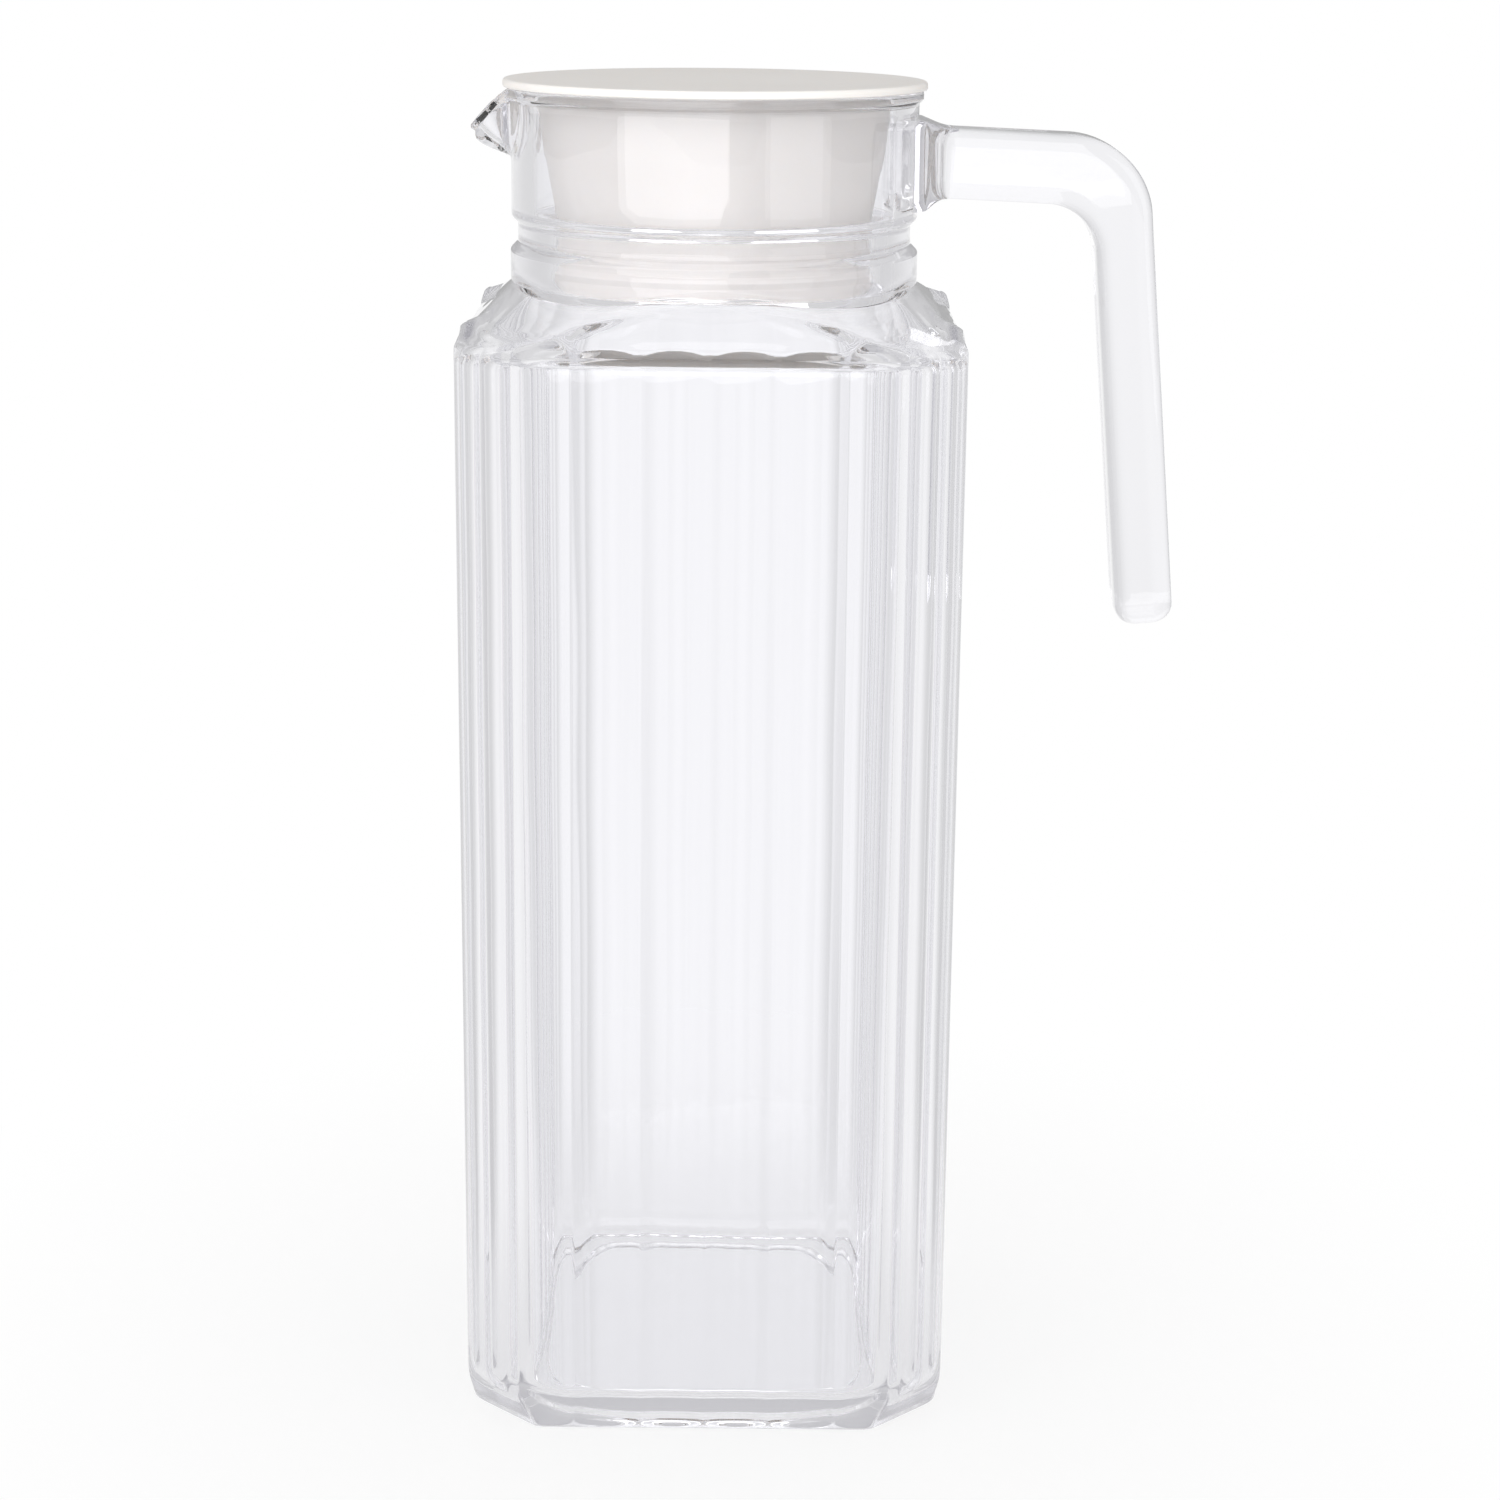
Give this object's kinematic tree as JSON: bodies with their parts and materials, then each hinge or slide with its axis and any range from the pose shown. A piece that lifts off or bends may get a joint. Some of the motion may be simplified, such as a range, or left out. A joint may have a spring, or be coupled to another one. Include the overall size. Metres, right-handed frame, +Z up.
{
  "type": "glass jug with lid",
  "caption": "Square fluted glass jug with a round collar, a pouring lip, an open-ended glass handle and a push-in plastic lid.",
  "frame": {"origin": "centre of the foot, on the plane that the jug stands on", "axes": "+Z up along the jug's axis, +X towards the handle, -X towards the spout"},
  "size_m": [0.1337, 0.0918, 0.25],
  "materials": {
    "clear_glass": "clear, polished",
    "lid_plastic": "satin, warm white"
  },
  "bodies": {
    "jug": {"glass_jug": "clear_glass"},
    "lid": {"lid": "lid_plastic"}
  },
  "joints": [
    {"name": "lid_lift", "type": "slide", "parent": "jug", "child": "lid", "axis": [0, 0, 1], "range_m": [0, 0.06]}
  ]
}
